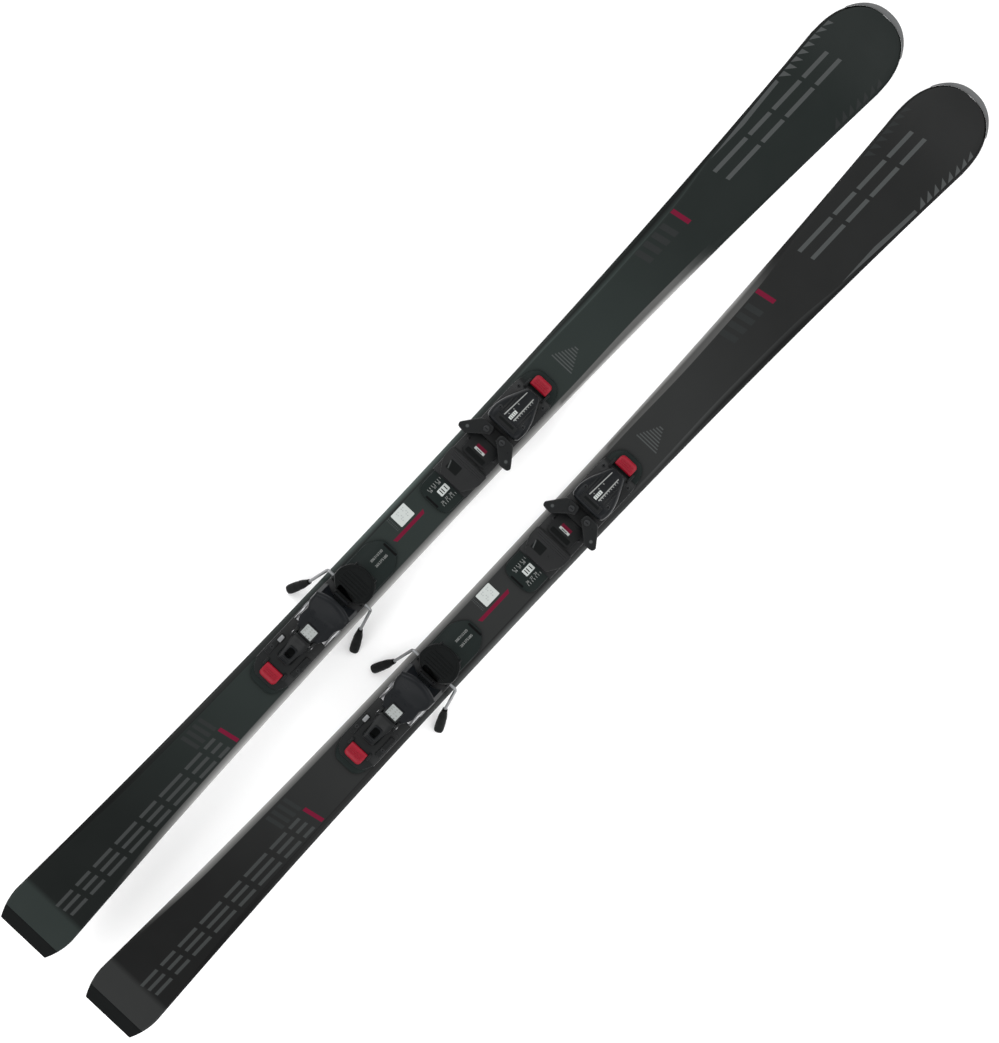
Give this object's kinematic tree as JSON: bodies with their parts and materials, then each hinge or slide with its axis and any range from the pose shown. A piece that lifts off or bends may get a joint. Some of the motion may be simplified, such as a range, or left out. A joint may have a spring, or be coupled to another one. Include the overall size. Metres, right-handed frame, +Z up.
{
  "type": "pair of alpine skis with bindings",
  "caption": "Pair of alpine skis with step-in bindings, brakes down and heel pieces open; toe wings, heel jaw, levers, brake and both carriages move.",
  "frame": {"origin": "centre of the bottom of the pair's bounding box, on the floor", "axes": "+Y from tails to tips, +Z up, +X to the right of someone looking from tails to tips"},
  "size_m": [0.2838, 1.6804, 0.1496],
  "materials": {
    "topsheet": "satin charcoal top sheet",
    "wood": "laminated hardwood",
    "base": "sintered polyethylene",
    "edge_steel": "ground steel edge",
    "bright_steel": "plated steel",
    "wire_steel": "spring steel wire",
    "black_plastic": "moulded glass-filled plastic",
    "grey_black": "moulded plastic",
    "grey_plastic": "moulded plastic",
    "red_plastic": "moulded plastic"
  },
  "bodies": {
    "left_ski": {"left_top_shell": "topsheet", "left_wood_core": "wood", "left_base_sheet": "base", "left_edge_left": "edge_steel", "left_edge_right": "edge_steel", "left_tip_guard": "grey_plastic", "left_tail_guard": "black_plastic", "left_toe_track": "grey_black", "left_heel_track": "grey_black"},
    "left_toe": {"left_toe_carriage": "black_plastic", "left_toe_housing": "black_plastic", "left_toe_spring": "bright_steel"},
    "left_toe_wing_left": {"left_wing_left": "black_plastic"},
    "left_toe_wing_right": {"left_wing_right": "black_plastic"},
    "left_toe_plate": {"left_afd_plate": "grey_plastic"},
    "left_toe_screw": {"left_toe_setting_screw": "bright_steel"},
    "left_toe_lever": {"left_toe_lock": "red_plastic"},
    "left_heel": {"left_heel_carriage": "black_plastic", "left_heel_bracket": "bright_steel", "left_heel_axle": "bright_steel"},
    "left_heel_lock_lever": {"left_heel_lock": "red_plastic"},
    "left_jaw": {"left_heel_jaw": "black_plastic", "left_heel_spring": "bright_steel", "left_lever_pin": "bright_steel"},
    "left_jaw_screw": {"left_heel_setting_screw": "bright_steel"},
    "left_release_lever": {"left_heel_lever": "black_plastic"},
    "left_brake": {"left_brake_wire": "wire_steel", "left_brake_foot_left": "black_plastic", "left_brake_foot_right": "black_plastic"},
    "left_pedal": {"left_brake_pedal": "black_plastic"},
    "right_ski": {"right_top_shell": "topsheet", "right_wood_core": "wood", "right_base_sheet": "base", "right_edge_left": "edge_steel", "right_edge_right": "edge_steel", "right_tip_guard": "grey_plastic", "right_tail_guard": "black_plastic", "right_toe_track": "grey_black", "right_heel_track": "grey_black"},
    "right_toe": {"right_toe_carriage": "black_plastic", "right_toe_housing": "black_plastic", "right_toe_spring": "bright_steel"},
    "right_toe_wing_left": {"right_wing_left": "black_plastic"},
    "right_toe_wing_right": {"right_wing_right": "black_plastic"},
    "right_toe_plate": {"right_afd_plate": "grey_plastic"},
    "right_toe_screw": {"right_toe_setting_screw": "bright_steel"},
    "right_toe_lever": {"right_toe_lock": "red_plastic"},
    "right_heel": {"right_heel_carriage": "black_plastic", "right_heel_bracket": "bright_steel", "right_heel_axle": "bright_steel"},
    "right_heel_lock_lever": {"right_heel_lock": "red_plastic"},
    "right_jaw": {"right_heel_jaw": "black_plastic", "right_heel_spring": "bright_steel", "right_lever_pin": "bright_steel"},
    "right_jaw_screw": {"right_heel_setting_screw": "bright_steel"},
    "right_release_lever": {"right_heel_lever": "black_plastic"},
    "right_brake": {"right_brake_wire": "wire_steel", "right_brake_foot_left": "black_plastic", "right_brake_foot_right": "black_plastic"},
    "right_pedal": {"right_brake_pedal": "black_plastic"}
  },
  "joints": [
    {"name": "left_toe_slide", "type": "slide", "parent": "left_ski", "child": "left_toe", "axis": [0, 0.998, -0.0634], "range_m": [-0.03, 0.02]},
    {"name": "left_heel_slide", "type": "slide", "parent": "left_ski", "child": "left_heel", "axis": [0, 0.998, -0.0634], "range_m": [-0.006, 0.035]},
    {"name": "left_wing_left_turn", "type": "hinge", "parent": "left_toe", "child": "left_toe_wing_left", "pos_m": [-0.09125, 0.07352, 0.08385], "axis": [0, -0.0634, -0.998], "range_deg": [0, 25], "stiffness_Nm_per_rad": 1, "springref_deg": -11.46},
    {"name": "left_wing_right_turn", "type": "hinge", "parent": "left_toe", "child": "left_toe_wing_right", "pos_m": [-0.06325, 0.07352, 0.08385], "axis": [0, 0.0634, 0.998], "range_deg": [0, 25], "stiffness_Nm_per_rad": 1, "springref_deg": -11.46},
    {"name": "left_toe_plate_slide", "type": "slide", "parent": "left_toe", "child": "left_toe_plate", "axis": [1, 0, 0], "range_m": [-0.004, 0.004], "stiffness_N_per_m": 500},
    {"name": "left_toe_screw_turn", "type": "hinge", "parent": "left_toe", "child": "left_toe_screw", "pos_m": [-0.07725, 0.14567, 0.06825], "axis": [0, 0.998, -0.0634], "range_deg": [-360, 360]},
    {"name": "left_toe_lock_turn", "type": "hinge", "parent": "left_toe", "child": "left_toe_lever", "pos_m": [-0.07725, 0.15814, 0.05944], "axis": [1, 0, 0], "range_deg": [0, 35]},
    {"name": "left_heel_lock_turn", "type": "hinge", "parent": "left_heel", "child": "left_heel_lock_lever", "pos_m": [-0.07725, -0.35183, 0.09181], "axis": [-1, 0, 0], "range_deg": [0, 35]},
    {"name": "left_jaw_turn", "type": "hinge", "parent": "left_heel", "child": "left_jaw", "pos_m": [-0.07725, -0.25932, 0.09696], "axis": [-1, 0, 0], "range_deg": [0, 27]},
    {"name": "left_jaw_screw_turn", "type": "hinge", "parent": "left_jaw", "child": "left_jaw_screw", "pos_m": [-0.07725, -0.27708, 0.10781], "axis": [0, 0.918, 0.3966], "range_deg": [-360, 360]},
    {"name": "left_release_lever_turn", "type": "hinge", "parent": "left_jaw", "child": "left_release_lever", "pos_m": [-0.07725, -0.29638, 0.10709], "axis": [-1, 0, 0], "range_deg": [0, 13.5]},
    {"name": "left_brake_turn", "type": "hinge", "parent": "left_heel", "child": "left_brake", "pos_m": [-0.07725, -0.20712, 0.08263], "axis": [-1, 0, 0], "range_deg": [0, 58], "stiffness_Nm_per_rad": 2, "springref_deg": -68.75},
    {"name": "left_pedal_turn", "type": "hinge", "parent": "left_heel", "child": "left_pedal", "pos_m": [-0.07725, -0.17809, 0.08229], "axis": [1, 0, 0], "range_deg": [0, 18]},
    {"name": "right_toe_slide", "type": "slide", "parent": "right_ski", "child": "right_toe", "axis": [0, 0.998, -0.0634], "range_m": [-0.03, 0.02]},
    {"name": "right_heel_slide", "type": "slide", "parent": "right_ski", "child": "right_heel", "axis": [0, 0.998, -0.0634], "range_m": [-0.006, 0.035]},
    {"name": "right_wing_left_turn", "type": "hinge", "parent": "right_toe", "child": "right_toe_wing_left", "pos_m": [0.06325, 0.07352, 0.08385], "axis": [0, -0.0634, -0.998], "range_deg": [0, 25], "stiffness_Nm_per_rad": 1, "springref_deg": -11.46},
    {"name": "right_wing_right_turn", "type": "hinge", "parent": "right_toe", "child": "right_toe_wing_right", "pos_m": [0.09125, 0.07352, 0.08385], "axis": [0, 0.0634, 0.998], "range_deg": [0, 25], "stiffness_Nm_per_rad": 1, "springref_deg": -11.46},
    {"name": "right_toe_plate_slide", "type": "slide", "parent": "right_toe", "child": "right_toe_plate", "axis": [1, 0, 0], "range_m": [-0.004, 0.004], "stiffness_N_per_m": 500},
    {"name": "right_toe_screw_turn", "type": "hinge", "parent": "right_toe", "child": "right_toe_screw", "pos_m": [0.07725, 0.14567, 0.06825], "axis": [0, 0.998, -0.0634], "range_deg": [-360, 360]},
    {"name": "right_toe_lock_turn", "type": "hinge", "parent": "right_toe", "child": "right_toe_lever", "pos_m": [0.07725, 0.15814, 0.05944], "axis": [1, 0, 0], "range_deg": [0, 35]},
    {"name": "right_heel_lock_turn", "type": "hinge", "parent": "right_heel", "child": "right_heel_lock_lever", "pos_m": [0.07725, -0.35183, 0.09181], "axis": [-1, 0, 0], "range_deg": [0, 35]},
    {"name": "right_jaw_turn", "type": "hinge", "parent": "right_heel", "child": "right_jaw", "pos_m": [0.07725, -0.25932, 0.09696], "axis": [-1, 0, 0], "range_deg": [0, 27]},
    {"name": "right_jaw_screw_turn", "type": "hinge", "parent": "right_jaw", "child": "right_jaw_screw", "pos_m": [0.07725, -0.27708, 0.10781], "axis": [0, 0.918, 0.3966], "range_deg": [-360, 360]},
    {"name": "right_release_lever_turn", "type": "hinge", "parent": "right_jaw", "child": "right_release_lever", "pos_m": [0.07725, -0.29638, 0.10709], "axis": [-1, 0, 0], "range_deg": [0, 13.5]},
    {"name": "right_brake_turn", "type": "hinge", "parent": "right_heel", "child": "right_brake", "pos_m": [0.07725, -0.20712, 0.08263], "axis": [-1, 0, 0], "range_deg": [0, 58], "stiffness_Nm_per_rad": 2, "springref_deg": -68.75},
    {"name": "right_pedal_turn", "type": "hinge", "parent": "right_heel", "child": "right_pedal", "pos_m": [0.07725, -0.17809, 0.08229], "axis": [1, 0, 0], "range_deg": [0, 18]},
    {"name": "right_ski_glide", "type": "slide", "parent": "left_ski", "child": "right_ski", "axis": [0, 1, 0], "range_m": [-0.3, 0.3]}
  ],
  "couplings": [
    {"joint": "left_release_lever_turn", "follows": "left_jaw_turn", "ratio": 0.5},
    {"joint": "left_pedal_turn", "follows": "left_brake_turn", "ratio": 0.31033},
    {"joint": "right_release_lever_turn", "follows": "right_jaw_turn", "ratio": 0.5},
    {"joint": "right_pedal_turn", "follows": "right_brake_turn", "ratio": 0.31033}
  ]
}
